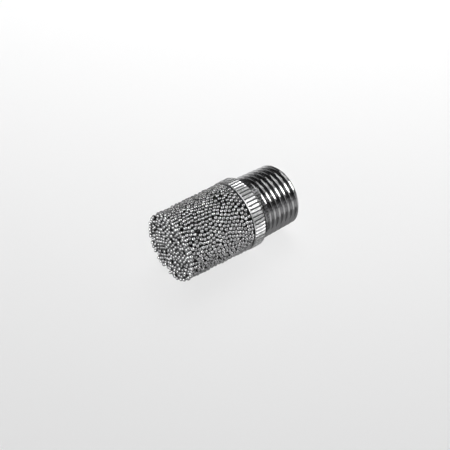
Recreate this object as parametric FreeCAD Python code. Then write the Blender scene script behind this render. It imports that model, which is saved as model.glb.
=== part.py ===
import FreeCAD, Part
import math
import os
import random

# Pneumatic exhaust muffler with a 1/8-27 NPT tapered thread: a turned and knurled steel base
# carries a blind cup of sintered steel balls. Millimetres. The axis lies along X, with the
# port end of the thread at x = 0 and the muffler reaching towards -X. +Z is up.

Vector = FreeCAD.Vector

# American taper pipe thread, 1/8 inch, 27 threads per inch
PITCH = 25.4 / 27
TAPER = 1 / 32                  # growth of the radius for each millimetre along the axis
PITCH_RADIUS = 9.233 / 2        # of the thread's pitch cone at the port end
SHARP_HEIGHT = 0.8660 * PITCH   # of the 60 degree thread before its crests and roots are cut
CREST_CUT = 0.06                # flattening of the crests, measured along the radius
ROOT_CUT = 0.09
THREAD_START = -1.3 * PITCH     # where the groove's first turn begins, outside the port end
THREAD_TURN = 171               # degrees from +Z, towards +Y, to the start of that first turn
THREAD_LENGTH = 7.10            # from the port end to the collar
THREAD_END_CHAMFER = 0.50
RELIEF_WIDTH = 0.30             # groove between the last turn and the collar
RELIEF_RADIUS = 4.55
TOOL_OVERCUT = 0.015            # how far the cutting tool stands out of the crests

# Knurled collar, gripped when the muffler is screwed in by hand
COLLAR_LENGTH = 2.54
COLLAR_RADIUS = 5.73
COLLAR_RIM = 0.22               # plain rim on the ball side, where the knurl stops
COLLAR_CHAMFER_LENGTH = 0.57    # on the thread side
COLLAR_CHAMFER_DEPTH = 0.63
KNURL_TEETH = 57
KNURL_DEPTH = 0.19
KNURL_LAND = 0.42               # share of each tooth's width that is left flat at the top

# Spigot that holds the sintered cup, and the air way through the base
SPIGOT_RADIUS = 3.70
SPIGOT_LENGTH = 2.00
BORE_RADIUS = 2.80
BORE_CHAMFER = 0.30

# Sintered cup
CUP_LENGTH = 12.06
CUP_RADIUS_AT_COLLAR = 5.74
CUP_RADIUS_AT_END = 5.65
CUP_END_WALL = 2.00
BALL_RADIUS = 0.315
BALL_SPREAD = 0.05              # the balls' radii differ by up to this share
BALL_GAP = 0.004                # left between neighbours, where the real balls are fused by a neck
CLASH_SHARE = 0.05              # a ball that overlaps a neighbour by more than this is left out
SEATING_GAP = 0.004             # left between a ball and the core or the collar
COLLAR_GAP = 0.05               # mean space between the collar and the first balls
SIDE_FILL = 0.82                # share of the side that is covered by balls
END_FILL = 0.76
SIDE_EMPTY = 0.02               # share of the balls that are missing, which leaves pits
END_EMPTY = 0.05
END_ROUGHNESS = 0.32            # how far the balls of the end face may sit back
SIDE_ROUGHNESS = 0.16           # how far the balls of the side may sit back
SETTLING_ROUNDS = 400
SETTLING_START = 0.9            # size of the balls at first, grown to 1 as they settle
SETTLING_GROWTH = 0.75          # share of the rounds in which they grow
SETTLING_SHAKE = 0.15           # how far they are shaken at first, as a share of the radius
SETTLING_CALM = 0.7             # share of the rounds after which they are no longer shaken
ROUNDS_PER_SEARCH = 4           # rounds between two searches for neighbours
SEARCH_MARGIN = 0.21            # gap up to which two balls count as neighbours
ROW_COUNT = 19                  # nodes that the side's balls are grouped into
END_RINGS = ("centre", "inner", "outer", "rim")
SEED = 27

COLLAR_FACE_X = -(THREAD_LENGTH + COLLAR_LENGTH)
CUP_END_X = COLLAR_FACE_X - CUP_LENGTH


def pitch_radius(z):
    """Radius of the thread's pitch cone at depth z from the port end."""
    return PITCH_RADIUS + TAPER * z


def crest_radius(z):
    return pitch_radius(z) + SHARP_HEIGHT / 2 - CREST_CUT


def root_radius(z):
    return pitch_radius(z) - SHARP_HEIGHT / 2 + ROOT_CUT


def turned(outline):
    """Solid of revolution about the z axis from (radius, z) points, closed along the axis."""
    points = [Vector(r, 0, z) for r, z in outline]
    wire = Part.makePolygon(points + points[:1])
    return Part.Face(wire).revolve(Vector(0, 0, 0), Vector(0, 0, 1), 360)


def thread_tool():
    """The V groove of the thread as one right-hand helical solid on the taper."""
    length = THREAD_LENGTH - RELIEF_WIDTH / 2 - THREAD_START
    base = root_radius(THREAD_START)
    spine = Part.makeHelix(PITCH, length, base, math.degrees(math.atan(TAPER)))
    spine.translate(Vector(0, 0, THREAD_START))
    slope = math.tan(math.radians(30))
    half_root = ROOT_CUT * slope
    depth = SHARP_HEIGHT - ROOT_CUT - CREST_CUT + TOOL_OVERCUT
    half_mouth = half_root + depth * slope
    corners = [
        Vector(base, 0, THREAD_START - half_root),
        Vector(base + depth, 0, THREAD_START - half_mouth),
        Vector(base + depth, 0, THREAD_START + half_mouth),
        Vector(base, 0, THREAD_START + half_root),
    ]
    profile = Part.makePolygon(corners + corners[:1])
    sweep = Part.BRepOffsetAPI.MakePipeShell(Part.Wire(spine))
    sweep.setBiNormalMode(Vector(0, 0, 1))
    sweep.add(profile)
    sweep.build()
    sweep.makeSolid()
    return sweep.shape()


def threaded_section():
    blank = turned([
        (0, 0),
        (crest_radius(0) - THREAD_END_CHAMFER, 0),
        (crest_radius(THREAD_END_CHAMFER), THREAD_END_CHAMFER),
        (crest_radius(THREAD_LENGTH), THREAD_LENGTH),
        (0, THREAD_LENGTH),
    ])
    relief = turned([
        (RELIEF_RADIUS, THREAD_LENGTH - RELIEF_WIDTH),
        (COLLAR_RADIUS, THREAD_LENGTH - RELIEF_WIDTH),
        (COLLAR_RADIUS, THREAD_LENGTH),
        (RELIEF_RADIUS, THREAD_LENGTH),
    ])
    section = blank.cut(thread_tool()).cut(relief)
    section.rotate(Vector(0, 0, 0), Vector(0, 0, 1), THREAD_TURN)
    return section


def knurl_outline():
    """Closed outline of the knurl: arcs for the lands, and a V between each two."""
    tooth = 2 * math.pi / KNURL_TEETH
    half_land = KNURL_LAND * tooth / 2

    def at(radius, angle):
        return Vector(radius * math.cos(angle), radius * math.sin(angle), 0)

    edges = []
    for i in range(KNURL_TEETH):
        middle = i * tooth
        land_start = at(COLLAR_RADIUS, middle - half_land)
        land_end = at(COLLAR_RADIUS, middle + half_land)
        valley = at(COLLAR_RADIUS - KNURL_DEPTH, middle + tooth / 2)
        next_land = at(COLLAR_RADIUS, middle + tooth - half_land)
        edges.append(Part.Arc(land_start, at(COLLAR_RADIUS, middle), land_end).toShape())
        edges.append(Part.makeLine(land_end, valley))
        edges.append(Part.makeLine(valley, next_land))
    return Part.Wire(edges)


def knurled_collar():
    """The collar with its knurl, chamfered towards the thread and plain at the ball side."""
    top = THREAD_LENGTH + COLLAR_LENGTH
    knurl_top = top - COLLAR_RIM
    knurl = Part.Face(knurl_outline()).extrude(Vector(0, 0, knurl_top - THREAD_LENGTH))
    knurl.translate(Vector(0, 0, THREAD_LENGTH))
    envelope = turned([
        (0, THREAD_LENGTH),
        (COLLAR_RADIUS - COLLAR_CHAMFER_DEPTH, THREAD_LENGTH),
        (COLLAR_RADIUS + 0.01, THREAD_LENGTH + COLLAR_CHAMFER_LENGTH),
        (COLLAR_RADIUS + 0.01, knurl_top),
        (0, knurl_top),
    ])
    rim = Part.makeCylinder(COLLAR_RADIUS - KNURL_DEPTH / 3, COLLAR_RIM, Vector(0, 0, knurl_top))
    return knurl.common(envelope).fuse(rim)


def threaded_base():
    """Thread, knurled collar and spigot in one turned piece, with the air way through it."""
    shoulder = THREAD_LENGTH + COLLAR_LENGTH
    spigot = Part.makeCylinder(SPIGOT_RADIUS, SPIGOT_LENGTH, Vector(0, 0, shoulder))
    bore = turned([
        (0, -1),
        (BORE_RADIUS + BORE_CHAMFER + 1, -1),
        (BORE_RADIUS, BORE_CHAMFER),
        (BORE_RADIUS, shoulder + SPIGOT_LENGTH + 1),
        (0, shoulder + SPIGOT_LENGTH + 1),
    ])
    return threaded_section().fuse(knurled_collar()).fuse(spigot).cut(bore)


def laid_along_x(shape):
    """Turns a shape built along +z from the port end so that it runs towards -X."""
    shape.rotate(Vector(0, 0, 0), Vector(0, 1, 0), -90)
    return shape


def mould_radius(x):
    """Radius of the cup's moulded side at x."""
    share = (x - CUP_END_X) / CUP_LENGTH
    return CUP_RADIUS_AT_END + share * (CUP_RADIUS_AT_COLLAR - CUP_RADIUS_AT_END)


def porous_core():
    """The inner layers of fused balls as one thick cup, closed at its free end. The outermost
    layer of balls stands on it."""
    layer = 2 * BALL_RADIUS * (1 + BALL_SPREAD) + SEATING_GAP
    mouth = THREAD_LENGTH + COLLAR_LENGTH
    length = CUP_LENGTH - layer - END_ROUGHNESS
    depth_in_side = layer + SIDE_ROUGHNESS
    depth = CUP_LENGTH - CUP_END_WALL
    return turned([
        (SPIGOT_RADIUS, mouth),
        (CUP_RADIUS_AT_COLLAR - depth_in_side, mouth),
        (CUP_RADIUS_AT_END - depth_in_side, mouth + length),
        (0, mouth + length),
        (0, mouth + depth),
        (SPIGOT_RADIUS, mouth + depth),
    ])


class Ball:
    """One steel ball of the outermost layer, kept against the mould's side or end."""

    def __init__(self, chance, on_end):
        self.radius = BALL_RADIUS * (1 + chance.uniform(-BALL_SPREAD, BALL_SPREAD))
        self.on_end = on_end
        self.set_back = chance.uniform(0, END_ROUGHNESS if on_end else SIDE_ROUGHNESS)
        angle = chance.uniform(0, 2 * math.pi)
        self.x = chance.uniform(CUP_END_X, COLLAR_FACE_X)
        reach = CUP_RADIUS_AT_END * math.sqrt(chance.random()) if on_end else 1
        self.y = reach * math.cos(angle)
        self.z = reach * math.sin(angle)
        self.return_to_mould()

    def return_to_mould(self):
        if self.on_end:
            self.x = CUP_END_X + self.radius + self.set_back
        nearest = COLLAR_FACE_X - self.radius - COLLAR_GAP
        self.x = min(max(self.x, CUP_END_X + self.radius), nearest)
        limit = mould_radius(self.x) - self.radius - (0 if self.on_end else self.set_back)
        reach = math.hypot(self.y, self.z)
        if reach > limit or not self.on_end:
            self.y *= limit / reach
            self.z *= limit / reach

    def distance(self, other):
        return math.dist((self.x, self.y, self.z), (other.x, other.y, other.z))


def near_pairs(balls, margin):
    """Pairs of balls that are within margin of touching, found on a grid of cells."""
    size = 2 * BALL_RADIUS * (1 + BALL_SPREAD) + margin
    cells = {}
    for index, ball in enumerate(balls):
        key = tuple(math.floor(c / size) for c in (ball.x, ball.y, ball.z))
        cells.setdefault(key, []).append(index)
    steps = (-1, 0, 1)
    around = [(i, j, k) for i in steps for j in steps for k in steps]
    pairs = []
    for (cx, cy, cz), members in cells.items():
        for i, j, k in around:
            for b in cells.get((cx + i, cy + j, cz + k), ()):
                pairs.extend((balls[a], balls[b]) for a in members
                             if a < b and balls[a].distance(balls[b]) < size)
    return pairs


def push_apart(a, b, reach):
    """Moves two balls until their centres are reach apart, if they are nearer than that."""
    away = (a.x - b.x, a.y - b.y, a.z - b.z)
    distance = max(math.hypot(*away), 1e-6)
    if distance < reach:
        push = (reach - distance) / 2 / distance
        a.x += away[0] * push
        a.y += away[1] * push
        a.z += away[2] * push
        b.x -= away[0] * push
        b.y -= away[1] * push
        b.z -= away[2] * push


def settle(balls, chance):
    """Grows and shakes the balls along the mould until they lie side by side."""
    for round_number in range(SETTLING_ROUNDS):
        time = round_number / SETTLING_ROUNDS
        size = SETTLING_START + (1 - SETTLING_START) * min(1, time / SETTLING_GROWTH)
        shake = SETTLING_SHAKE * BALL_RADIUS * max(0, 1 - time / SETTLING_CALM)
        if round_number % ROUNDS_PER_SEARCH == 0:
            pairs = near_pairs(balls, SEARCH_MARGIN)
        for ball in balls:
            ball.x += chance.gauss(0, shake)
            ball.y += chance.gauss(0, shake)
            ball.z += chance.gauss(0, shake)
        for a, b in pairs:
            push_apart(a, b, (a.radius + b.radius) * size + BALL_GAP)
        for ball in balls:
            ball.return_to_mould()


def sized_to_clear(balls):
    """Leaves out one ball of each pair that overlaps much, and makes the others clear."""
    dropped = set()
    for a, b in near_pairs(balls, 0):
        clash = a.distance(b) < (a.radius + b.radius) * (1 - CLASH_SHARE)
        if clash and a not in dropped and b not in dropped:
            dropped.add(b)
    kept = [ball for ball in balls if ball not in dropped]
    for a, b in near_pairs(kept, BALL_GAP):
        share = (a.distance(b) - BALL_GAP) / (a.radius + b.radius)
        if share < 1:
            a.radius *= share
            b.radius *= share
    return kept


def outer_layer():
    """The outermost layer of balls, settled against the mould, with a few left out."""
    chance = random.Random(SEED)
    disc = math.pi * BALL_RADIUS ** 2
    reach = (CUP_RADIUS_AT_COLLAR + CUP_RADIUS_AT_END) / 2 - BALL_RADIUS
    side_area = 2 * math.pi * reach * (CUP_LENGTH - BALL_RADIUS)
    end_area = math.pi * (CUP_RADIUS_AT_END - BALL_RADIUS) ** 2
    balls = [Ball(chance, False) for _ in range(round(SIDE_FILL * side_area / disc))]
    balls += [Ball(chance, True) for _ in range(round(END_FILL * end_area / disc))]
    settle(balls, chance)
    return [ball for ball in sized_to_clear(balls)
            if chance.random() > (END_EMPTY if ball.on_end else SIDE_EMPTY)]


def ball_groups():
    """The balls by node: rows along the side, and rings on the end face."""
    groups = {}
    row_width = CUP_LENGTH / ROW_COUNT
    ring_width = CUP_RADIUS_AT_END / len(END_RINGS)
    for ball in outer_layer():
        if ball.on_end:
            ring = int(math.hypot(ball.y, ball.z) / ring_width)
            name = "end_balls_" + END_RINGS[min(ring, len(END_RINGS) - 1)]
        else:
            row = int((COLLAR_FACE_X - ball.x) / row_width)
            name = f"side_balls_{min(row, ROW_COUNT - 1) + 1:02d}"
        centre = Vector(ball.x, ball.y, ball.z)
        groups.setdefault(name, []).append(Part.makeSphere(ball.radius, centre))
    return groups


def save(name, shape):
    shape.exportStep(f"parts/{name}.step")
    solids = shape.Solids
    volume = sum(solid.Volume for solid in solids)
    print(f"{name}: {len(solids)} solid(s), {volume:.2f} mm3, valid {shape.isValid()}")


os.makedirs("parts", exist_ok=True)
save("threaded_base", laid_along_x(threaded_base()))
save("porous_core", laid_along_x(porous_core()))
for node, spheres in sorted(ball_groups().items()):
    save(node, Part.makeCompound(spheres))
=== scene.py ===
"""Looks of the pneumatic muffler: sintered steel balls, knurled collar and tapered thread."""

import math

import bmesh
import bpy
import numpy as np
from mathutils import Matrix, Vector


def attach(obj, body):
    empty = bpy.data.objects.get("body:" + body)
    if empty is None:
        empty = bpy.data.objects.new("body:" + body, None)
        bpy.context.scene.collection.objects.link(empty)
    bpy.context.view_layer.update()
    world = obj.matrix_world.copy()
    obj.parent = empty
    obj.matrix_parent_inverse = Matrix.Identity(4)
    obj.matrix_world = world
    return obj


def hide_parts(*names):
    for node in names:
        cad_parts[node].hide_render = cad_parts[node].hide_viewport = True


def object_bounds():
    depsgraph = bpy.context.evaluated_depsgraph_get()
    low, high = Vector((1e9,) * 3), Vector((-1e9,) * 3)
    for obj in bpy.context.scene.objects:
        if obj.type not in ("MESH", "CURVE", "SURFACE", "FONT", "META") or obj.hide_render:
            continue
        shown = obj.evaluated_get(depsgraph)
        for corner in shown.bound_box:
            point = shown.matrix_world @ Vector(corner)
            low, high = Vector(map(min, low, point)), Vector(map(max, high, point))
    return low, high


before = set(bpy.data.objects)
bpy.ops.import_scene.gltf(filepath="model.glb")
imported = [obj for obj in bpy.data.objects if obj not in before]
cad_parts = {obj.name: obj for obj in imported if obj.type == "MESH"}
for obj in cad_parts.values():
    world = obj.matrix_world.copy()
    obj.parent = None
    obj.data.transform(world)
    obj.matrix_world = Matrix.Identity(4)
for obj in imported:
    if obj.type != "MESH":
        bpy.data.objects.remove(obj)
cad_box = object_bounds()

MM = 0.001

# Thread, collar and bore in millimetres, as in the CAD part apart from the thread's softened
# crests and roots, the knurl's slightly narrower lands and the collar's narrower rim
PITCH = 25.4 / 27
TAPER = 1 / 32                  # growth of the radius along the thread
PITCH_RADIUS = 9.233 / 2
FLANK_ANGLE = math.radians(30)  # between a flank and the plane across the axis
SHARP_HEIGHT = PITCH / 2 / math.tan(FLANK_ANGLE)
CREST_CUT = 0.06
CREST_FLAT = 0.12               # half of the flat's width, with the worn edges
CREST_ROUNDING = 0.04
ROOT_ROUNDING = 0.07
THREAD_START = (-1.3 - 171 / 360) * PITCH   # of the groove, at the angle where turns begin
THREAD_LENGTH = 7.10
THREAD_END_CHAMFER = 0.50
RELIEF_WIDTH = 0.30
RELIEF_RADIUS = 4.55
COLLAR_LENGTH = 2.54
COLLAR_RADIUS = 5.73
COLLAR_RIM = 0.12
COLLAR_CHAMFER_LENGTH = 0.57
COLLAR_CHAMFER_DEPTH = 0.63
COLLAR_CHAMFER_STEPS = 12
KNURL_STEPS = 6                 # rows of faces along a knurl tooth
KNURL_TEETH = 57
KNURL_DEPTH = 0.19
# One knurl tooth: place as a share of its width, and depth as a share of KNURL_DEPTH
KNURL_TOOTH = ((0.0, 0.0), (0.20, 0.0), (0.30, 0.30), (0.50, 1.0), (0.70, 0.30), (0.80, 0.0))
RIM_RADIUS = COLLAR_RADIUS - KNURL_DEPTH / 3
RIM_EDGE = 0.03
# The rim takes this share of the grooves' painted shade
RIM_SHADE = 0.20                # as dark as this share of the way down a groove
SPIGOT_RADIUS = 3.70
SPIGOT_LENGTH = 2.00
BORE_RADIUS = 2.80
BORE_CHAMFER = 0.30
BORE_STEPS = 11
SAME_PLACE = 0.0005             # clean merges vertices that are closer than this
SHARPEST_SMOOTH = math.radians(38)

# Sintered cup, in millimetres
SEED = 27
CUP_LENGTH = 12.06
CUP_RADIUS_AT_COLLAR = 5.74
CUP_RADIUS_AT_END = 5.65
CUP_END_WALL = 2.00
BALL_RADIUS = 0.315
BALL_UNEVENNESS = 0.012         # share of the radius
BALL_WAVINESS = 2.2             # how quickly the unevenness changes round a ball
INNER_BALL_RADIUS = 0.97 * BALL_RADIUS
FINE_BALL = 3                   # icosphere subdivisions of the outer and the sunk balls
PLAIN_BALL = 2                  # and of the second layer and the lining
CHAMBER_RADIUS = SPIGOT_RADIUS
CORE_RADIUS = 4.35
CORE_DEPTH_AT_END = 1.45
CORE_SIDES = 160
CORE_GAP = 0.05                 # between the core shell and the collar
# The shell's fixed depth and tone make the ball steel paint it dark: painted shade between balls
CORE_DEPTH = 0.8                # the material's depth all over the shell, in ball widths
CORE_SHADE = 0.2
COLLAR_FACE_X = -(THREAD_LENGTH + COLLAR_LENGTH)
CUP_END_X = COLLAR_FACE_X - CUP_LENGTH

LAYER_REACH = 0.95 * BALL_RADIUS    # widest gap between balls that carry one behind them
LAYER_DEPTH = 5 * BALL_RADIUS
FUSION = 0.06                   # overlap allowed to the balls behind, apart from the lining
SUNK_TRIALS = 200000
SUNK_BATCH = 500                # trial places compared with the other balls at once
SUNK_LEAST = 0.12               # depth of a sunk ball's top under the mould's surface
SUNK_MOST = 1.05

LINING_GAP = 1.02               # spacing of the lining's balls, in ball widths
LINING_ROWS = 0.87              # distance of its rows, in spacings
LINING_START = 0.3              # place of the first ring, in rows
LINING_SPREAD = 0.03

NECK_RADIUS = 0.10              # of the fused neck between two balls
NECK_REACH = 0.035              # widest gap that a neck bridges
NECK_SIDES = 10
NECK_RINGS = 5
NECK_SHADE = 0.4
SMALLEST_NECK_FILLET = 0.004
MOST_NECKS_IN_PIECE = 2400
UNALIGNED = (0.3, 0.5, 0.8)     # a direction that no two balls lie along

# Surroundings: angles in degrees and lengths in millimetres, but the muffler's middle and the
# floor's height in metres, as in the frame
CAMERA_AZIMUTH = -38.17
CAMERA_ELEVATION = 39.69
CAMERA_LENS = 97.6
CAMERA_DISTANCE = 182.7
CAMERA_TARGET = (-13.74, -3.41, 2.69)
SENSOR_WIDTH = 36
NEAREST_SEEN = 10
WALL_LIGHT = 0.30
ROOM_LIGHT = 0.045
WALL_EDGE = (0.16, 0.22)        # sines of the elevations where the wall fades into the room
MIDDLE = Vector(((cad_box[0][0] + cad_box[1][0]) / 2, 0, 0))
FLOOR_HEIGHT = cad_box[0][2] - 0.02 * MM
FLOOR_REACH = 3000
FLOOR_BRIGHTNESS = 0.86
# A dim card that only mirror images show: painted shadow of the floor under the muffler
SHADE_CARD = (-50, 30, -14, 14)     # its ends along the axis and across it
SHADE_CARD_HEIGHT = 0.01            # over the floor
SHADE_CARD_BRIGHTNESS = 0.30


def link(name, vertices, faces):
    """A smoothly shaded mesh object from vertices in millimetres and faces."""
    mesh = bpy.data.meshes.new(name)
    mesh.from_pydata([tuple(v) for v in np.asarray(vertices) * MM], [], [tuple(f) for f in faces])
    mesh.validate()
    mesh.shade_smooth()
    piece = bpy.data.objects.new(name, mesh)
    bpy.context.scene.collection.objects.link(piece)
    return piece


def clean(piece):
    """Merges a piece's doubled vertices, turns its faces outwards and marks its sharp edges."""
    bm = bmesh.new()
    bm.from_mesh(piece.data)
    bmesh.ops.remove_doubles(bm, verts=bm.verts, dist=SAME_PLACE * MM)
    bmesh.ops.dissolve_degenerate(bm, dist=SAME_PLACE * MM, edges=bm.edges)
    bmesh.ops.recalc_face_normals(bm, faces=bm.faces)
    bm.to_mesh(piece.data)
    bm.free()
    piece.data.set_sharp_from_angle(angle=SHARPEST_SMOOTH)


def icosphere(subdivisions):
    """Vertices and triangles of a unit icosphere."""
    bm = bmesh.new()
    bmesh.ops.create_icosphere(bm, subdivisions=subdivisions, radius=1)
    vertices = np.array([v.co[:] for v in bm.verts])
    faces = np.array([[v.index for v in f.verts] for f in bm.faces])
    bm.free()
    return vertices, faces


# ---------------------------------------------------------------- balls

def balls_of(node):
    """Centre and radius, in millimetres, of each ball in a CAD node, by fitting each island."""
    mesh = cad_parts[node].data
    points = np.zeros(len(mesh.vertices) * 3)
    mesh.vertices.foreach_get("co", points)
    points = points.reshape(-1, 3) / MM
    edges = np.zeros(len(mesh.edges) * 2, dtype=np.int64)
    mesh.edges.foreach_get("vertices", edges)
    first, second = edges.reshape(-1, 2).T
    # Each vertex takes the lowest label among its neighbours, until every island has one label
    label = np.arange(len(points))
    while True:
        low = np.minimum(label[first], label[second])
        new = label.copy()
        np.minimum.at(new, first, low)
        np.minimum.at(new, second, low)
        new = new[new]
        if (new == label).all():
            break
        label = new
    # The sphere that fits an island's points best
    found = []
    for island in np.unique(label):
        p = points[label == island]
        system = np.hstack([2 * p, np.ones((len(p), 1))])
        x, y, z, rest = np.linalg.lstsq(system, (p ** 2).sum(axis=1), rcond=None)[0]
        found.append((x, y, z, math.sqrt(rest + x * x + y * y + z * z)))
    return np.array(found)


def mould_radius(x):
    """Radius of the mould's side, which tapers a little towards the free end."""
    share = (x - CUP_END_X) / CUP_LENGTH
    return CUP_RADIUS_AT_END + share * (CUP_RADIUS_AT_COLLAR - CUP_RADIUS_AT_END)


def depth_of(points):
    """How far points lie inside the mould's side or end, whichever is nearer."""
    side = mould_radius(points[..., 0]) - np.hypot(points[..., 1], points[..., 2])
    return np.minimum(side, points[..., 0] - CUP_END_X)


def turned_at_random(chance, count):
    """Random rotation matrices."""
    q = chance.normal(size=(count, 4))
    w, x, y, z = (q / np.linalg.norm(q, axis=1, keepdims=True)).T
    return np.stack([
        np.stack([1 - 2 * (y * y + z * z), 2 * (x * y - z * w), 2 * (x * z + y * w)], axis=1),
        np.stack([2 * (x * y + z * w), 1 - 2 * (x * x + z * z), 2 * (y * z - x * w)], axis=1),
        np.stack([2 * (x * z - y * w), 2 * (y * z + x * w), 1 - 2 * (x * x + y * y)], axis=1),
    ], axis=1)


def ball_piece(name, balls, subdivisions, chance, material):
    """One mesh of many separate balls, each a little out of round, with a shade of its own and
    its depth under the mould's surface in ball widths."""
    unit, triangles = icosphere(subdivisions)
    count = len(balls)
    turns = turned_at_random(chance, count)
    waves = chance.normal(scale=BALL_WAVINESS, size=(count, 3, 3))
    phases = chance.uniform(0, 2 * math.pi, size=(count, 3))
    relief = np.sin(np.einsum("bwk,vk->bvw", waves, unit) + phases[:, None, :]).mean(axis=2)
    shape = unit[None] * (1 - BALL_UNEVENNESS * (1 + relief[..., None]) / 2)
    shape = np.einsum("bij,bvj->bvi", turns, shape)
    vertices = balls[:, None, :3] + shape * balls[:, None, 3:4]
    offsets = (np.arange(count) * len(unit))[:, None, None]
    faces = (triangles[None] + offsets).reshape(-1, 3)
    piece = link(name, vertices.reshape(-1, 3), faces)
    shade = np.repeat(chance.uniform(0, 1, count), len(unit))
    store(piece, "shade", shade)
    store(piece, "depth", depth_of(vertices.reshape(-1, 3)) / (2 * BALL_RADIUS))
    piece.data.materials.append(material)
    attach(piece, "root")
    return piece


def store(piece, name, values):
    """Keeps one value for each vertex, for the piece's material to read."""
    attribute = piece.data.attributes.new(name, "FLOAT", "POINT")
    attribute.data.foreach_set("value", np.asarray(values, dtype=np.float32))


def close_pairs(balls, reach):
    """Index pairs of balls whose surfaces are at most reach apart."""
    order = np.argsort(balls[:, 0])
    placed = balls[order]
    widest = 2 * placed[:, 3].max() + reach
    pairs = []
    for i, ball in enumerate(placed):
        last = np.searchsorted(placed[:, 0], ball[0] + widest)
        others = placed[i + 1:last]
        gap = np.linalg.norm(others[:, :3] - ball[:3], axis=1) - others[:, 3] - ball[3]
        pairs.extend((order[i], order[i + 1 + j]) for j in np.nonzero(gap < reach)[0])
    return pairs


def ring_faces(rings, sides):
    """Faces that join each ring of vertices to the next one."""
    faces = []
    for ring in range(rings - 1):
        low, high = ring * sides, (ring + 1) * sides
        for side in range(sides):
            after = (side + 1) % sides
            faces.append((low + side, low + after, high + after, high + side))
    return faces


def neck(a, b):
    """Rings of a fused neck between two balls: an arc that runs smoothly into both."""
    along = b[:3] - a[:3]
    distance = np.linalg.norm(along)
    along = along / distance
    mean = (a[3] + b[3]) / 2
    half = distance / 2
    waist = NECK_RADIUS
    fillet = (waist ** 2 + half ** 2 - mean ** 2) / (2 * (mean - waist))
    fillet = max(fillet, SMALLEST_NECK_FILLET)
    swing = math.asin(min(1, half / (mean + fillet)))
    across = np.cross(along, UNALIGNED)
    across = across / np.linalg.norm(across)
    third = np.cross(along, across)
    turn = np.linspace(0, 2 * math.pi, NECK_SIDES, endpoint=False)
    ring = np.outer(np.cos(turn), across) + np.outer(np.sin(turn), third)
    middle = (a[:3] + b[:3]) / 2 + along * (a[3] - b[3]) / 2
    rings = []
    for angle in np.linspace(-swing, swing, NECK_RINGS):
        radius = waist + fillet - fillet * math.cos(angle)
        rings.append(middle + along * fillet * math.sin(angle) + ring * radius)
    return np.concatenate(rings)


def neck_piece(name, balls, pairs, material):
    """One mesh of the fused necks between the given pairs of balls. Each neck is a tube with
    open ends, which lie at the balls' surfaces."""
    one = np.array(ring_faces(NECK_RINGS, NECK_SIDES))
    vertices = np.concatenate([neck(balls[a], balls[b]) for a, b in pairs])
    offsets = (np.arange(len(pairs)) * NECK_RINGS * NECK_SIDES)[:, None, None]
    faces = (one[None] + offsets).reshape(-1, 4)
    piece = link(name, vertices, faces)
    store(piece, "shade", np.full(len(vertices), NECK_SHADE))
    store(piece, "depth", depth_of(vertices) / (2 * BALL_RADIUS))
    piece.data.materials.append(material)
    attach(piece, "root")


def resting_places(base, neighbours):
    """Where a ball would touch three of the base balls, on the side away from the mould."""
    radius = INNER_BALL_RADIUS
    threes = []
    for i, near in enumerate(neighbours):
        for j in near:
            for k in near & neighbours[j]:
                if i < j < k:
                    threes.append((i, j, k))
    i, j, k = np.array(threes).T
    a, b, c = base[i, :3], base[j, :3], base[k, :3]
    ra, rb, rc = base[i, 3] + radius, base[j, 3] + radius, base[k, 3] + radius
    # Axes at a: ex towards b, ey towards c in the plane of the three, and ez across it
    ab = b - a
    d = np.linalg.norm(ab, axis=1)
    ex = ab / d[:, None]
    ac = c - a
    along = (ex * ac).sum(axis=1)
    ey = ac - along[:, None] * ex
    height = np.linalg.norm(ey, axis=1)
    ey = ey / height[:, None]
    ez = np.cross(ex, ey)
    x = (ra ** 2 - rb ** 2 + d ** 2) / (2 * d)
    y = (ra ** 2 - rc ** 2 + along ** 2 + height ** 2) / (2 * height) - along / height * x
    rest = ra ** 2 - x ** 2 - y ** 2
    good = rest > 0
    z = np.sqrt(np.where(good, rest, 0))
    flat = a + x[:, None] * ex + y[:, None] * ey
    up, down = flat + z[:, None] * ez, flat - z[:, None] * ez
    deeper = np.where((depth_of(up) > depth_of(down))[:, None], up, down)
    return deeper[good]


def next_layer(base):
    """Balls that lie in the pockets behind the base balls."""
    radius = INNER_BALL_RADIUS
    neighbours = [set() for _ in base]
    for i, j in close_pairs(base, LAYER_REACH):
        neighbours[i].add(j)
        neighbours[j].add(i)
    places = resting_places(base, neighbours)
    depth = depth_of(places)
    fits = (depth < LAYER_DEPTH) & (places[:, 0] < COLLAR_FACE_X - radius)
    places, depth = places[fits], depth[fits]
    kept = np.empty((0, 4))
    for index in np.argsort(depth):
        place = places[index]
        others = np.concatenate([base, kept])
        near = others[np.abs(others[:, 0] - place[0]) < 3 * radius]
        gap = np.linalg.norm(near[:, :3] - place, axis=1) - near[:, 3] - radius
        if gap.size == 0 or gap.min() > -FUSION:
            kept = np.vstack([kept, [*place, radius]])
    return kept


def sunk_balls(solid, chance):
    """Balls that fill the wider gaps of the outer layer, sunk a little behind it. Every ball
    counts as an inner one here, so a sunk ball may overlap a larger outer one a little more."""
    radius = INNER_BALL_RADIUS
    nearest = 2 * radius - FUSION
    low = (CUP_END_X, -CUP_RADIUS_AT_COLLAR, -CUP_RADIUS_AT_COLLAR)
    high = (COLLAR_FACE_X - radius, CUP_RADIUS_AT_COLLAR, CUP_RADIUS_AT_COLLAR)
    places = chance.uniform(low, high, size=(SUNK_TRIALS, 3))
    depth = depth_of(places)
    places = places[(depth > radius + SUNK_LEAST) & (depth < radius + SUNK_MOST)]
    free = []
    for some in np.array_split(places, len(places) // SUNK_BATCH + 1):
        distance = np.linalg.norm(some[:, None] - solid[None, :, :3], axis=2).min(axis=1)
        free.append(some[distance > nearest])
    places = np.concatenate(free)
    kept = np.empty((0, 3))
    for place in places[np.argsort(depth_of(places))]:
        if np.linalg.norm(kept - place, axis=1).min(initial=math.inf) > nearest:
            kept = np.vstack([kept, place])
    return np.hstack([kept, np.full((len(kept), 1), radius)])


# ---------------------------------------------------------------- threaded base

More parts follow.
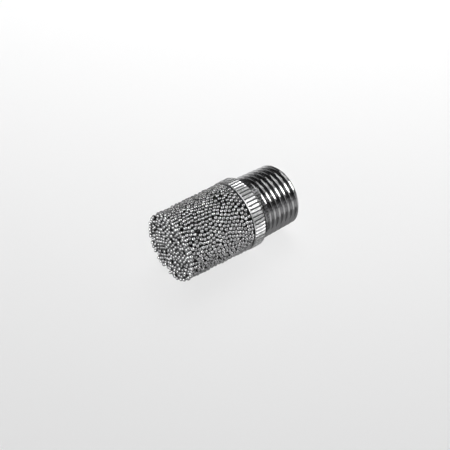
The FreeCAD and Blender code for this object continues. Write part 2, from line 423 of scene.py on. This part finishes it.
def knurl_columns():
    """Angle and knurl depth of each column of the base's mesh, with every tooth alike."""
    width = 2 * math.pi / KNURL_TEETH
    angles = [(i + place) * width for i in range(KNURL_TEETH) for place, _ in KNURL_TOOTH]
    depths = [share * KNURL_DEPTH for _, share in KNURL_TOOTH]
    return np.array(angles), np.array(depths * KNURL_TEETH)


def thread_profile():
    """Distances from the groove's middle and heights over the sharp root, for one pitch: the
    rounded root, a flank, the crest's rounded edge and its flat, and back down the same way."""
    top = SHARP_HEIGHT - CREST_CUT
    half_opening = PITCH / 2 - CREST_FLAT
    sharp_root = top - half_opening / math.tan(FLANK_ANGLE)
    tilt = math.pi / 2 - FLANK_ANGLE
    distances, heights = [], []
    for turn in np.linspace(0, tilt, 6):
        distances.append(ROOT_ROUNDING * math.sin(turn))
        heights.append(sharp_root + ROOT_ROUNDING * (2 - math.cos(turn)))
    low = distances[-1]
    edge = CREST_ROUNDING * math.tan(FLANK_ANGLE)
    high = half_opening - edge * math.sin(FLANK_ANGLE)
    for share in (0.1, 0.5, 0.9):
        distances.append(low + share * (high - low))
        heights.append(sharp_root + distances[-1] / math.tan(FLANK_ANGLE))
    for turn in np.linspace(tilt, 0, 4):
        distances.append(half_opening + edge - CREST_ROUNDING * math.sin(turn))
        heights.append(top - CREST_ROUNDING * (1 - math.cos(turn)))
    for share in (0.3, 1.0):
        distances.append(distances[-1] + share * (PITCH / 2 - distances[-1]))
        heights.append(top)
    distances += [PITCH - distance for distance in distances[-2:0:-1]]
    heights += heights[-2:0:-1]
    return np.array(distances), np.array(heights)


def thread_radius(z, angles):
    """Radius of the thread at a depth and angle, cut by the chamfer at the port end."""
    distances, heights = thread_profile()
    place = (z - THREAD_START - PITCH * angles / (2 * math.pi)) % PITCH
    height = np.interp(place, np.append(distances, PITCH), np.append(heights, heights[0]))
    root = PITCH_RADIUS + TAPER * z - SHARP_HEIGHT / 2
    crest = PITCH_RADIUS + SHARP_HEIGHT / 2 - CREST_CUT
    chamfer = crest - THREAD_END_CHAMFER + z * (1 + TAPER)
    return np.minimum(root + height, chamfer)


def thread_rows(angles):
    """Rows of (depth, radius) columns that follow the helix from the port end to the relief,
    and how many rows make a turn."""
    distances, _ = thread_profile()
    last = THREAD_LENGTH - RELIEF_WIDTH
    turns = math.ceil((last - THREAD_START) / PITCH) + 1
    rows = []
    for turn in range(-1, turns):
        for distance in distances:
            z = THREAD_START + turn * PITCH + distance + PITCH * angles / (2 * math.pi)
            z = np.clip(z, 0, last)
            rows.append((z, thread_radius(z, angles)))
    return rows, len(distances)


def collar_rows(angles, knurl):
    """Rows of the relief and of the collar's knurl."""
    flat = np.ones_like(angles)
    start = THREAD_LENGTH
    top = start + COLLAR_LENGTH
    rows = [(flat * (start - RELIEF_WIDTH), flat * RELIEF_RADIUS)]
    rows.append((flat * start, flat * RELIEF_RADIUS))
    for share in np.linspace(0, 1, COLLAR_CHAMFER_STEPS + 1):
        cone = COLLAR_RADIUS - COLLAR_CHAMFER_DEPTH * (1 - share)
        radius = np.minimum(cone, COLLAR_RADIUS - knurl)
        rows.append((flat * (start + share * COLLAR_CHAMFER_LENGTH), radius))
    knurl_start, knurl_end = start + COLLAR_CHAMFER_LENGTH, top - COLLAR_RIM
    for z in np.linspace(knurl_start, knurl_end, KNURL_STEPS + 1)[1:]:
        rows.append((flat * z, COLLAR_RADIUS - knurl))
    return rows


def rim_rows(angles):
    """Rows of the collar's plain rim, beside the cup."""
    flat = np.ones_like(angles)
    top = THREAD_LENGTH + COLLAR_LENGTH
    corners = ((top - COLLAR_RIM, RIM_RADIUS), (top - RIM_EDGE, RIM_RADIUS),
               (top, RIM_RADIUS - RIM_EDGE))
    return [(flat * z, flat * radius) for z, radius in corners]


def bore_rows(angles):
    """Rows of the spigot and, back to the port end, of the bore."""
    flat = np.ones_like(angles)
    shoulder = THREAD_LENGTH + COLLAR_LENGTH
    end = shoulder + SPIGOT_LENGTH
    corners = [(shoulder, SPIGOT_RADIUS), (end, SPIGOT_RADIUS), (end, BORE_RADIUS)]
    corners += [(z, BORE_RADIUS) for z in np.linspace(end, BORE_CHAMFER, BORE_STEPS + 1)[1:]]
    corners += [(0, BORE_RADIUS + BORE_CHAMFER)]
    return [(flat * z, flat * radius) for z, radius in corners]


def base_mesh(materials):
    """The whole turned base as one closed mesh: thread, knurled collar, spigot and bore."""
    angles, knurl = knurl_columns()
    columns = len(angles)
    thread, per_turn = thread_rows(angles)
    knurled, rim, bore = collar_rows(angles, knurl), rim_rows(angles), bore_rows(angles)
    rows = thread + knurled + rim + bore
    last_thread = len(thread) - 1
    first_rim = len(thread) + len(knurled)
    last_rim = first_rim + len(rim) - 1

    def turn_on(row):
        """The row that a row of the thread runs on as, one turn further round."""
        return row if row > last_thread else min(row + per_turn, last_thread)

    vertices, grooves = [], []
    for row, (z, radius) in enumerate(rows):
        vertices.append(np.stack([-z, radius * np.sin(angles), radius * np.cos(angles)], axis=1))
        # the rim's rows carry RIM_SHADE, a little of the grooves' painted shade
        grooves.append(knurl / KNURL_DEPTH if row < first_rim else np.full(columns, RIM_SHADE))
    faces, zones = [], []
    for row in range(len(rows)):
        after = (row + 1) % len(rows)
        zone = 0 if row < last_thread else 1 if row < last_rim else 2
        for column in range(columns):
            beside = (column + 1) % columns
            here, there = (turn_on(row), turn_on(after)) if beside == 0 else (row, after)
            faces.append((row * columns + column, after * columns + column,
                          there * columns + beside, here * columns + beside))
            zones.append(zone)
    piece = link("threaded_base_turned", np.concatenate(vertices), faces)
    for material in materials:
        piece.data.materials.append(material)
    piece.data.polygons.foreach_set("material_index", zones)
    store(piece, "groove", np.concatenate(grooves))
    clean(piece)
    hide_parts("threaded_base")
    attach(piece, "root")


# ---------------------------------------------------------------- materials

def steel(name):
    """A new metal, with its node tree, its shader and its coordinates in millimetres."""
    material = bpy.data.materials.new(name)
    material.use_nodes = True
    tree = material.node_tree
    shader = tree.nodes["Principled BSDF"]
    shader.inputs["Metallic"].default_value = 1
    place = tree.nodes.new("ShaderNodeTexCoord")
    scale = tree.nodes.new("ShaderNodeVectorMath")
    scale.operation = "SCALE"
    scale.inputs["Scale"].default_value = 1 / MM
    tree.links.new(place.outputs["Object"], scale.inputs[0])
    return material, tree, shader, scale.outputs[0]


def noise(tree, place, scale, detail=3.0, roughness=0.55):
    """Soft noise with scale waves in a millimetre."""
    node = tree.nodes.new("ShaderNodeTexNoise")
    node.inputs["Scale"].default_value = scale
    node.inputs["Detail"].default_value = detail
    node.inputs["Roughness"].default_value = roughness
    tree.links.new(place, node.inputs["Vector"])
    return node.outputs["Fac"]


def ranged(tree, value, low, high, from_low=0.0, from_high=1.0):
    """The value moved from its own range to the one from low to high, and kept inside it."""
    node = tree.nodes.new("ShaderNodeMapRange")
    node.inputs["From Min"].default_value = from_low
    node.inputs["From Max"].default_value = from_high
    node.inputs["To Min"].default_value = low
    node.inputs["To Max"].default_value = high
    tree.links.new(value, node.inputs["Value"])
    return node.outputs["Result"]


def attribute(tree, name):
    """A value that store kept on the piece."""
    node = tree.nodes.new("ShaderNodeAttribute")
    node.attribute_name = name
    return node.outputs["Fac"]


def multiplied(tree, a, b):
    node = tree.nodes.new("ShaderNodeMath")
    node.operation = "MULTIPLY"
    tree.links.new(a, node.inputs[0])
    tree.links.new(b, node.inputs[1])
    return node.outputs[0]


def grey(tree, value, tint):
    """A colour of the given tint, as bright as value."""
    node = tree.nodes.new("ShaderNodeVectorMath")
    node.operation = "SCALE"
    node.inputs[0].default_value = tint
    tree.links.new(value, node.inputs["Scale"])
    return node.outputs[0]


def bumped(tree, shader, height, strength, distance):
    """Gives the shader a fine relief, with its distance in millimetres."""
    node = tree.nodes.new("ShaderNodeBump")
    node.inputs["Strength"].default_value = strength
    node.inputs["Distance"].default_value = distance * MM
    tree.links.new(height, node.inputs["Height"])
    tree.links.new(node.outputs["Normal"], shader.inputs["Normal"])


def ball_steel(name, brightness):
    """Satin sintered steel: each ball has its own tone, and painted shade darkens it into the
    gaps.
    """
    material, tree, shader, place = steel(name)
    own = ranged(tree, attribute(tree, "shade"), 0.80 * brightness, 1.15 * brightness)
    # painted shade: the deeper a point lies under the mould's surface, the darker its colour
    gap = ranged(tree, attribute(tree, "depth"), 1.0, 0.26, from_low=0.12, from_high=0.70)
    stain = ranged(tree, noise(tree, place, 1.6), 0.82, 1.12, from_low=0.3, from_high=0.7)
    value = multiplied(tree, multiplied(tree, own, gap), stain)
    tree.links.new(grey(tree, value, (1.0, 1.0, 1.01)), shader.inputs["Base Color"])
    tree.links.new(ranged(tree, noise(tree, place, 7.0), 0.09, 0.20), shader.inputs["Roughness"])
    bumped(tree, shader, noise(tree, place, 26.0, detail=4.0), strength=0.35, distance=0.012)
    return material


def thread_steel():
    """Bright turned steel, with fine rings left by the tool."""
    material, tree, shader, place = steel("turned_thread_steel")
    stain = ranged(tree, noise(tree, place, 0.9), 0.38, 0.50, from_low=0.3, from_high=0.7)
    tree.links.new(grey(tree, stain, (1.0, 1.0, 1.01)), shader.inputs["Base Color"])
    tree.links.new(ranged(tree, noise(tree, place, 5.0), 0.06, 0.13), shader.inputs["Roughness"])
    wave = tree.nodes.new("ShaderNodeTexWave")
    wave.bands_direction = "X"
    wave.inputs["Scale"].default_value = 9.0
    wave.inputs["Distortion"].default_value = 0.6
    tree.links.new(place, wave.inputs["Vector"])
    bumped(tree, shader, wave.outputs["Fac"], strength=0.08, distance=0.004)
    return material


def collar_steel():
    """Knurled steel, satin on the lands, with painted shade in the grooves, dull at a glancing
    angle.
    """
    material, tree, shader, place = steel("knurled_collar_steel")
    groove = attribute(tree, "groove")
    stain = ranged(tree, noise(tree, place, 3.6), 0.62, 1.10, from_low=0.36, from_high=0.62)
    # painted shade: the colour darkens down each knurl groove, and a little on the rim
    painted_groove_shade = ranged(tree, groove, 0.88, 0.25, from_low=0.12, from_high=0.72)
    value = multiplied(tree, painted_groove_shade, stain)
    tree.links.new(grey(tree, value, (1.0, 1.0, 1.005)), shader.inputs["Base Color"])
    rough = multiplied(tree, ranged(tree, groove, 0.38, 0.24),
                       ranged(tree, noise(tree, place, 8.0), 0.8, 1.2))
    tree.links.new(rough, shader.inputs["Roughness"])
    shader.inputs["Specular Tint"].default_value = (0.02, 0.02, 0.02, 1)
    bumped(tree, shader, noise(tree, place, 12.0, detail=4.0), strength=0.25, distance=0.01)
    return material


def bore_steel():
    """Duller bored steel, with the rings of the boring tool."""
    material, tree, shader, place = steel("bored_steel")
    shader.inputs["Base Color"].default_value = (0.5, 0.5, 0.5, 1)
    tree.links.new(ranged(tree, noise(tree, place, 4.0), 0.22, 0.38), shader.inputs["Roughness"])
    wave = tree.nodes.new("ShaderNodeTexWave")
    wave.bands_direction = "X"
    wave.inputs["Scale"].default_value = 5.0
    tree.links.new(place, wave.inputs["Vector"])
    bumped(tree, shader, wave.outputs["Fac"], strength=0.2, distance=0.006)
    return material


# ---------------------------------------------------------------- the cup

def lining_balls(chance):
    """Balls that line the chamber inside the cup: rings round its side and a disc at its end.
    Nothing keeps them clear of each other or of the sunk balls in the wall."""
    radius = INNER_BALL_RADIUS
    spacing = 2 * radius * LINING_GAP
    step = spacing * LINING_ROWS
    wall = CHAMBER_RADIUS + radius
    start, end = COLLAR_FACE_X - SPIGOT_LENGTH, CUP_END_X + CUP_END_WALL
    per_ring = int(2 * math.pi * wall / spacing)
    side, disc = [], []
    for ring in range(int((start - end) / step)):
        for place in range(per_ring):
            angle = 2 * math.pi * (place + ring % 2 / 2) / per_ring
            x = end + step * (ring + LINING_START)
            side.append((x, wall * math.cos(angle), wall * math.sin(angle), radius))
    across = int(CHAMBER_RADIUS / spacing) + 2
    for row in range(-across, across + 1):
        for place in range(-across, across + 1):
            y, z = spacing * (place + row % 2 / 2), step * row
            if math.hypot(y, z) < CHAMBER_RADIUS:
                disc.append((end - radius, y, z, radius))
    side, disc = np.array(side), np.array(disc)
    for balls in (side, disc):
        balls[:, :3] += chance.normal(scale=LINING_SPREAD, size=(len(balls), 3))
    return side, disc


def core_mesh(material):
    """The inside of the cup's wall, a closed shell between the layers of balls."""
    inner = CHAMBER_RADIUS + BALL_RADIUS
    mouth, near = COLLAR_FACE_X - CORE_GAP, COLLAR_FACE_X - SPIGOT_LENGTH
    chamber, end = CUP_END_X + CUP_END_WALL - BALL_RADIUS, CUP_END_X + CORE_DEPTH_AT_END
    outline = ((end, 0), (end, CORE_RADIUS), (mouth, CORE_RADIUS), (mouth, SPIGOT_RADIUS),
               (near, SPIGOT_RADIUS), (near, inner), (chamber, inner), (chamber, 0))
    turn = np.linspace(0, 2 * math.pi, CORE_SIDES, endpoint=False)
    flat = np.ones(CORE_SIDES)
    rings = [np.stack([flat * x, r * np.sin(turn), r * np.cos(turn)], axis=1)
             for x, r in outline]
    faces = ring_faces(len(outline), CORE_SIDES)
    piece = link("porous_core_shell", np.concatenate(rings), faces)
    clean(piece)
    count = len(piece.data.vertices)
    # painted shade: the fixed tone and depth darken the whole shell
    store(piece, "shade", np.full(count, CORE_SHADE))
    store(piece, "depth", np.full(count, CORE_DEPTH))
    piece.data.materials.append(material)
    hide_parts("porous_core")
    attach(piece, "root")


def build_cup():
    """Every CAD ball as a sintered ball, and the balls, necks and shell of the wall behind."""
    chance = np.random.default_rng(SEED)
    material = ball_steel("sintered_ball_steel", 0.60)
    # a darker copy of the ball steel for the balls and shell inside the wall: painted shade
    inner = ball_steel("sintered_core_steel_painted_darker", 0.52)
    outer = []
    for node in sorted(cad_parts):
        if "balls" in node:
            balls = balls_of(node)
            piece = ball_piece(f"{node}_sintered", balls, FINE_BALL, chance, material)
            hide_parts(node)
            outer.append(balls)
    outer = np.concatenate(outer)
    second = next_layer(outer)
    sunk = sunk_balls(np.concatenate([outer, second]), chance)
    fused = np.concatenate([outer, second, sunk])
    middle = (CUP_END_X + COLLAR_FACE_X) / 2
    side, end = lining_balls(chance)
    for name, balls, subdivisions in (
        ("second_layer_free_half", second[second[:, 0] < middle], PLAIN_BALL),
        ("second_layer_collar_half", second[second[:, 0] >= middle], PLAIN_BALL),
        ("sunk_balls_free_half", sunk[sunk[:, 0] < middle], FINE_BALL),
        ("sunk_balls_collar_half", sunk[sunk[:, 0] >= middle], FINE_BALL),
        ("chamber_side_lining", side, PLAIN_BALL),
        ("chamber_end_lining", end, PLAIN_BALL),
    ):
        piece = ball_piece(name, balls, subdivisions, chance, inner)
        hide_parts("porous_core")
    core_mesh(inner)
    pairs = close_pairs(fused, NECK_REACH)
    for start in range(0, len(pairs), MOST_NECKS_IN_PIECE):
        some = pairs[start:start + MOST_NECKS_IN_PIECE]
        neck_piece(f"sinter_necks_{start // MOST_NECKS_IN_PIECE + 1}", fused, some, material)


# ---------------------------------------------------------------- surroundings

def paint(name, brightness):
    """A matt grey."""
    material = bpy.data.materials.new(name)
    material.use_nodes = True
    shader = material.node_tree.nodes["Principled BSDF"]
    shader.inputs["Base Color"].default_value = (brightness, brightness, brightness, 1)
    shader.inputs["Roughness"].default_value = 0.9
    return material


def level_sheet(name, x0, x1, y0, y1, height, material):
    """A level rectangle, with its sides in millimetres and its height in metres."""
    mesh = bpy.data.meshes.new(name)
    corners = ((x0, y0), (x1, y0), (x1, y1), (x0, y1))
    mesh.from_pydata([(x * MM, y * MM, height) for x, y in corners], [], [(0, 1, 2, 3)])
    mesh.materials.append(material)
    sheet = bpy.data.objects.new(name, mesh)
    bpy.context.scene.collection.objects.link(sheet)
    return sheet


def add_floor():
    """The pale floor, just under the muffler."""
    level_sheet("floor", -FLOOR_REACH, FLOOR_REACH, -FLOOR_REACH, FLOOR_REACH, FLOOR_HEIGHT,
                paint("pale_floor", FLOOR_BRIGHTNESS))


def add_shade_card():
    """A dim card under the muffler that only its mirror images show: painted shadow of the floor.
    """
    card = level_sheet("shade_card", *SHADE_CARD, FLOOR_HEIGHT + SHADE_CARD_HEIGHT * MM,
                       paint("shade_card_paint", SHADE_CARD_BRIGHTNESS))
    card.visible_camera = False
    card.visible_diffuse = False
    card.visible_shadow = False


def along_and_around(along, around):
    """Directions towards a light and across its width. The light is along degrees towards the
    port end, and around degrees from the front over the top."""
    along, around = math.radians(along), math.radians(around)
    towards = Vector((math.sin(along), -math.cos(along) * math.cos(around),
                      math.cos(along) * math.sin(around)))
    across = Vector((math.cos(along), math.sin(along) * math.cos(around),
                     -math.sin(along) * math.sin(around)))
    return towards, across


def add_panel(name, place, distance, size, radiance, shape="RECTANGLE", gloss=True,
              diffuse=False, shadow=True):
    """A soft flat light at a place along and around the muffler, which faces its middle."""
    towards, across = along_and_around(*place)
    light = bpy.data.lights.new(name, "AREA")
    light.shape = shape
    light.size, light.size_y = size
    area = size[0] * size[1] * (math.pi / 4 if shape == "ELLIPSE" else 1)
    light.energy = radiance * math.pi * area
    light.use_shadow = shadow
    panel = bpy.data.objects.new(name, light)
    panel.location = MIDDLE + towards * distance
    panel.rotation_euler = Matrix((across, towards.cross(across), towards)).transposed().to_euler()
    panel.visible_glossy = gloss
    panel.visible_diffuse = diffuse
    panel.visible_camera = False
    bpy.context.scene.collection.objects.link(panel)


def add_lights():
    """Panels that only reflections show, and one that only lights the floor. Lengths in metres."""
    add_panel("key_panel", (43.5, 52.5), distance=0.25, size=(0.096, 0.135), radiance=10.0,
              shape="ELLIPSE")
    add_panel("overhead_strip", (-32, 96), distance=0.50, size=(0.46, 0.12), radiance=4.0)
    add_panel("crest_strip", (36.5, 98), distance=0.50, size=(0.045, 0.42), radiance=1.1)
    add_panel("collar_strip", (29, 106), distance=0.50, size=(0.035, 0.12), radiance=4.5)
    add_panel("end_panel", (-60, 60), distance=0.50, size=(0.60, 0.60), radiance=1.4)
    add_panel("end_key", (-70, 60), distance=0.25, size=(0.075, 0.075), radiance=12.0,
              shape="ELLIPSE")
    add_panel("floor_fill", (24, 116), distance=0.42, size=(0.30, 0.30), radiance=8.3,
              gloss=False, diffuse=True, shadow=False)


def add_world():
    """A dim room with a pale wall around it, up to a little above the horizon."""
    world = bpy.data.worlds.new("dim_room")
    world.use_nodes = True
    tree = world.node_tree
    place = tree.nodes.new("ShaderNodeTexCoord")
    split = tree.nodes.new("ShaderNodeSeparateXYZ")
    tree.links.new(place.outputs["Generated"], split.inputs[0])
    wall = ranged(tree, split.outputs["Z"], WALL_LIGHT, ROOM_LIGHT, *WALL_EDGE)
    background = tree.nodes["Background"]
    tree.links.new(grey(tree, wall, (1.0, 1.0, 1.01)), background.inputs["Color"])
    bpy.context.scene.world = world


def add_camera():
    """The camera looks down on the free end from the left."""
    azimuth, elevation = math.radians(CAMERA_AZIMUTH), math.radians(CAMERA_ELEVATION)
    away = Vector((math.sin(azimuth) * math.cos(elevation),
                   -math.cos(azimuth) * math.cos(elevation), math.sin(elevation)))
    camera = bpy.data.cameras.new("camera")
    camera.lens = CAMERA_LENS
    camera.sensor_width = SENSOR_WIDTH
    camera.clip_start = NEAREST_SEEN * MM
    holder = bpy.data.objects.new("camera", camera)
    holder.location = Vector(CAMERA_TARGET) * MM + away * CAMERA_DISTANCE * MM
    holder.rotation_euler = away.to_track_quat("Z", "Y").to_euler()
    bpy.context.scene.collection.objects.link(holder)
    bpy.context.scene.camera = holder


build_cup()
base_mesh([thread_steel(), collar_steel(), bore_steel()])
add_floor()
add_shade_card()
add_lights()
add_world()
add_camera()
bpy.context.scene.view_settings.view_transform = "Standard"
